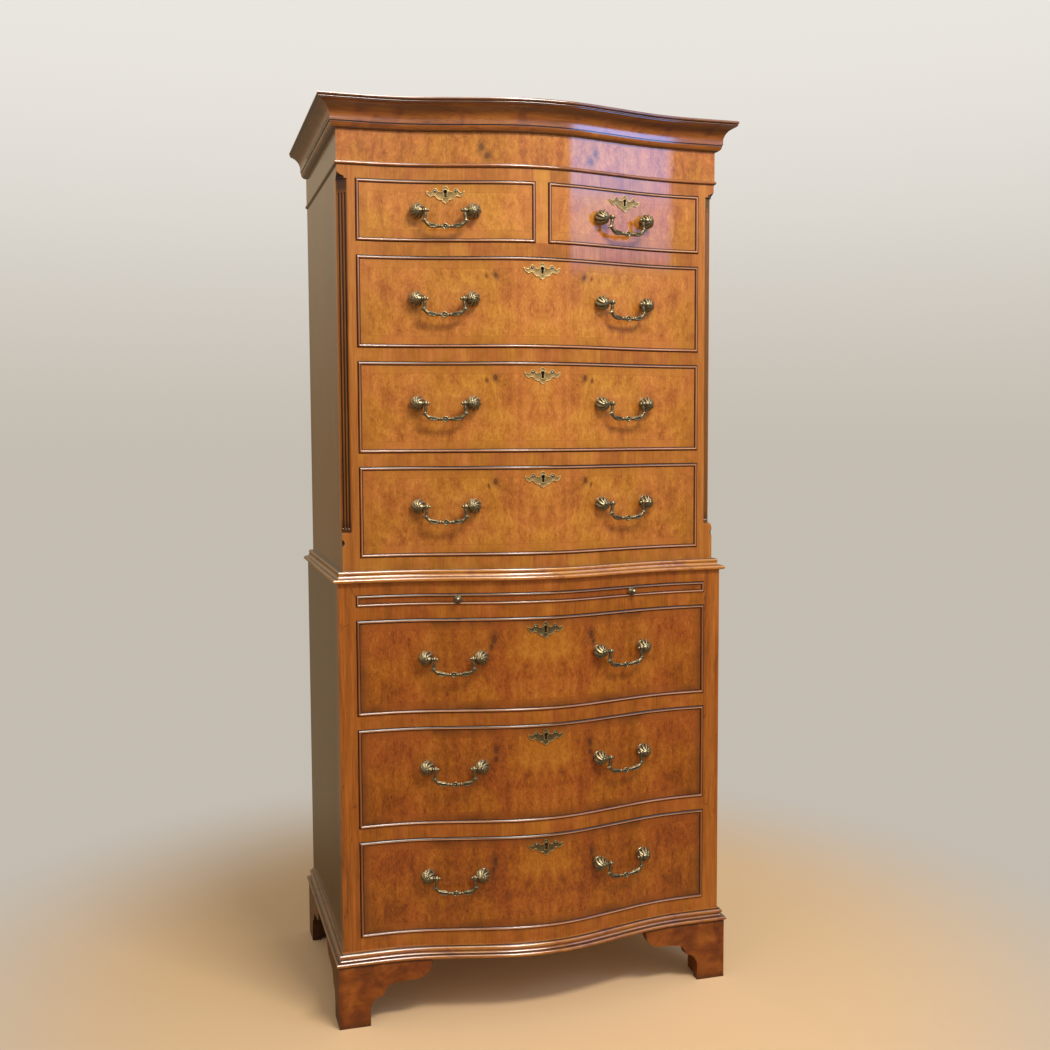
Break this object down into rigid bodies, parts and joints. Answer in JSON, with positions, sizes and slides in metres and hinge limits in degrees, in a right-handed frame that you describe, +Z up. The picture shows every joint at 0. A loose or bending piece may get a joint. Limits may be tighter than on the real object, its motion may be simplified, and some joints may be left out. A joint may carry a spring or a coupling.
{
  "type": "chest on chest",
  "caption": "Serpentine-fronted walnut chest on chest with canted fluted corners, a brushing slide, cock-beaded drawers, swan-neck bail handles and bracket feet.",
  "frame": {"origin": "centre of the chest's footprint on the floor", "axes": "+Z up, the drawers open towards -Y, +X to the right of someone facing the front"},
  "size_m": [0.83, 0.5578, 1.748],
  "materials": {
    "figured_walnut": "satin polish",
    "walnut": "satin polish",
    "lining_timber": "bare",
    "antique_brass": "aged"
  },
  "bodies": {
    "case": {"cornice_moulding": "walnut", "cornice_top_board": "lining_timber", "frieze_frame": "figured_walnut", "frieze_bead": "walnut", "upper_left_side": "walnut", "upper_right_side": "walnut", "fluted_posts": "walnut", "upper_rails": "walnut", "upper_boards": "lining_timber", "upper_runners": "lining_timber", "waist_moulding": "walnut", "lower_boards": "lining_timber", "lower_left_side": "walnut", "lower_right_side": "walnut", "lower_stiles": "walnut", "lower_rails": "walnut", "lower_runners": "lining_timber", "back_panels": "lining_timber", "base_moulding": "walnut", "bracket_feet": "walnut"},
    "short_drawer_left": {"short_drawer_left_front": "figured_walnut", "short_drawer_left_box": "lining_timber", "short_drawer_left_fittings": "antique_brass"},
    "short_drawer_left_bail": {"short_drawer_left_bail": "antique_brass"},
    "short_drawer_right": {"short_drawer_right_front": "figured_walnut", "short_drawer_right_box": "lining_timber", "short_drawer_right_fittings": "antique_brass"},
    "short_drawer_right_bail": {"short_drawer_right_bail": "antique_brass"},
    "upper_drawer_top": {"upper_drawer_top_front": "figured_walnut", "upper_drawer_top_box": "lining_timber", "upper_drawer_top_fittings": "antique_brass"},
    "upper_drawer_top_bail_left": {"upper_drawer_top_bail_left": "antique_brass"},
    "upper_drawer_top_bail_right": {"upper_drawer_top_bail_right": "antique_brass"},
    "upper_drawer_middle": {"upper_drawer_middle_front": "figured_walnut", "upper_drawer_middle_box": "lining_timber", "upper_drawer_middle_fittings": "antique_brass"},
    "upper_drawer_middle_bail_left": {"upper_drawer_middle_bail_left": "antique_brass"},
    "upper_drawer_middle_bail_right": {"upper_drawer_middle_bail_right": "antique_brass"},
    "upper_drawer_bottom": {"upper_drawer_bottom_front": "figured_walnut", "upper_drawer_bottom_box": "lining_timber", "upper_drawer_bottom_fittings": "antique_brass"},
    "upper_drawer_bottom_bail_left": {"upper_drawer_bottom_bail_left": "antique_brass"},
    "upper_drawer_bottom_bail_right": {"upper_drawer_bottom_bail_right": "antique_brass"},
    "lower_drawer_top": {"lower_drawer_top_front": "figured_walnut", "lower_drawer_top_box": "lining_timber", "lower_drawer_top_fittings": "antique_brass"},
    "lower_drawer_top_bail_left": {"lower_drawer_top_bail_left": "antique_brass"},
    "lower_drawer_top_bail_right": {"lower_drawer_top_bail_right": "antique_brass"},
    "lower_drawer_middle": {"lower_drawer_middle_front": "figured_walnut", "lower_drawer_middle_box": "lining_timber", "lower_drawer_middle_fittings": "antique_brass"},
    "lower_drawer_middle_bail_left": {"lower_drawer_middle_bail_left": "antique_brass"},
    "lower_drawer_middle_bail_right": {"lower_drawer_middle_bail_right": "antique_brass"},
    "lower_drawer_bottom": {"lower_drawer_bottom_front": "figured_walnut", "lower_drawer_bottom_box": "lining_timber", "lower_drawer_bottom_fittings": "antique_brass"},
    "lower_drawer_bottom_bail_left": {"lower_drawer_bottom_bail_left": "antique_brass"},
    "lower_drawer_bottom_bail_right": {"lower_drawer_bottom_bail_right": "antique_brass"},
    "brushing_slide": {"brushing_slide_board": "walnut", "brushing_slide_knobs": "antique_brass"}
  },
  "joints": [
    {"name": "short_drawer_left_slide", "type": "slide", "parent": "case", "child": "short_drawer_left", "axis": [0, -1, 0], "range_m": [0, 0.28]},
    {"name": "short_drawer_left_bail_hinge", "type": "hinge", "parent": "short_drawer_left", "child": "short_drawer_left_bail", "pos_m": [-0.18366, -0.22882, 1.547], "axis": [-0.9725, 0.233, 0], "range_deg": [-25, 170]},
    {"name": "short_drawer_right_slide", "type": "slide", "parent": "case", "child": "short_drawer_right", "axis": [0, -1, 0], "range_m": [0, 0.28]},
    {"name": "short_drawer_right_bail_hinge", "type": "hinge", "parent": "short_drawer_right", "child": "short_drawer_right_bail", "pos_m": [0.17724, -0.23023, 1.547], "axis": [-0.9715, -0.2371, 0], "range_deg": [-25, 170]},
    {"name": "upper_drawer_top_slide", "type": "slide", "parent": "case", "child": "upper_drawer_top", "axis": [0, -1, 0], "range_m": [0, 0.28]},
    {"name": "upper_drawer_top_bail_left_hinge", "type": "hinge", "parent": "upper_drawer_top", "child": "upper_drawer_top_bail_left", "pos_m": [-0.18662, -0.22819, 1.385], "axis": [-0.973, 0.2308, 0], "range_deg": [-25, 170]},
    {"name": "upper_drawer_top_bail_right_hinge", "type": "hinge", "parent": "upper_drawer_top", "child": "upper_drawer_top_bail_right", "pos_m": [0.17823, -0.23001, 1.385], "axis": [-0.9716, -0.2365, 0], "range_deg": [-25, 170]},
    {"name": "upper_drawer_middle_slide", "type": "slide", "parent": "case", "child": "upper_drawer_middle", "axis": [0, -1, 0], "range_m": [0, 0.28]},
    {"name": "upper_drawer_middle_bail_left_hinge", "type": "hinge", "parent": "upper_drawer_middle", "child": "upper_drawer_middle_bail_left", "pos_m": [-0.18662, -0.22819, 1.191], "axis": [-0.973, 0.2308, 0], "range_deg": [-25, 170]},
    {"name": "upper_drawer_middle_bail_right_hinge", "type": "hinge", "parent": "upper_drawer_middle", "child": "upper_drawer_middle_bail_right", "pos_m": [0.17823, -0.23001, 1.191], "axis": [-0.9716, -0.2365, 0], "range_deg": [-25, 170]},
    {"name": "upper_drawer_bottom_slide", "type": "slide", "parent": "case", "child": "upper_drawer_bottom", "axis": [0, -1, 0], "range_m": [0, 0.28]},
    {"name": "upper_drawer_bottom_bail_left_hinge", "type": "hinge", "parent": "upper_drawer_bottom", "child": "upper_drawer_bottom_bail_left", "pos_m": [-0.18662, -0.22819, 0.997], "axis": [-0.973, 0.2308, 0], "range_deg": [-25, 170]},
    {"name": "upper_drawer_bottom_bail_right_hinge", "type": "hinge", "parent": "upper_drawer_bottom", "child": "upper_drawer_bottom_bail_right", "pos_m": [0.17823, -0.23001, 0.997], "axis": [-0.9716, -0.2365, 0], "range_deg": [-25, 170]},
    {"name": "lower_drawer_top_slide", "type": "slide", "parent": "case", "child": "lower_drawer_top", "axis": [0, -1, 0], "range_m": [0, 0.28]},
    {"name": "lower_drawer_top_bail_left_hinge", "type": "hinge", "parent": "lower_drawer_top", "child": "lower_drawer_top_bail_left", "pos_m": [-0.17826, -0.2423, 0.7085], "axis": [-0.9713, 0.238, 0], "range_deg": [-25, 170]},
    {"name": "lower_drawer_top_bail_right_hinge", "type": "hinge", "parent": "lower_drawer_top", "child": "lower_drawer_top_bail_right", "pos_m": [0.16934, -0.24433, 0.7085], "axis": [-0.9702, -0.2422, 0], "range_deg": [-25, 170]},
    {"name": "lower_drawer_middle_slide", "type": "slide", "parent": "case", "child": "lower_drawer_middle", "axis": [0, -1, 0], "range_m": [0, 0.28]},
    {"name": "lower_drawer_middle_bail_left_hinge", "type": "hinge", "parent": "lower_drawer_middle", "child": "lower_drawer_middle_bail_left", "pos_m": [-0.17826, -0.2423, 0.4965], "axis": [-0.9713, 0.238, 0], "range_deg": [-25, 170]},
    {"name": "lower_drawer_middle_bail_right_hinge", "type": "hinge", "parent": "lower_drawer_middle", "child": "lower_drawer_middle_bail_right", "pos_m": [0.16934, -0.24433, 0.4965], "axis": [-0.9702, -0.2422, 0], "range_deg": [-25, 170]},
    {"name": "lower_drawer_bottom_slide", "type": "slide", "parent": "case", "child": "lower_drawer_bottom", "axis": [0, -1, 0], "range_m": [0, 0.28]},
    {"name": "lower_drawer_bottom_bail_left_hinge", "type": "hinge", "parent": "lower_drawer_bottom", "child": "lower_drawer_bottom_bail_left", "pos_m": [-0.17826, -0.2423, 0.2835], "axis": [-0.9713, 0.238, 0], "range_deg": [-25, 170]},
    {"name": "lower_drawer_bottom_bail_right_hinge", "type": "hinge", "parent": "lower_drawer_bottom", "child": "lower_drawer_bottom_bail_right", "pos_m": [0.16934, -0.24433, 0.2835], "axis": [-0.9702, -0.2422, 0], "range_deg": [-25, 170]},
    {"name": "brushing_slide_slide", "type": "slide", "parent": "case", "child": "brushing_slide", "axis": [0, -1, 0], "range_m": [0, 0.25]}
  ]
}
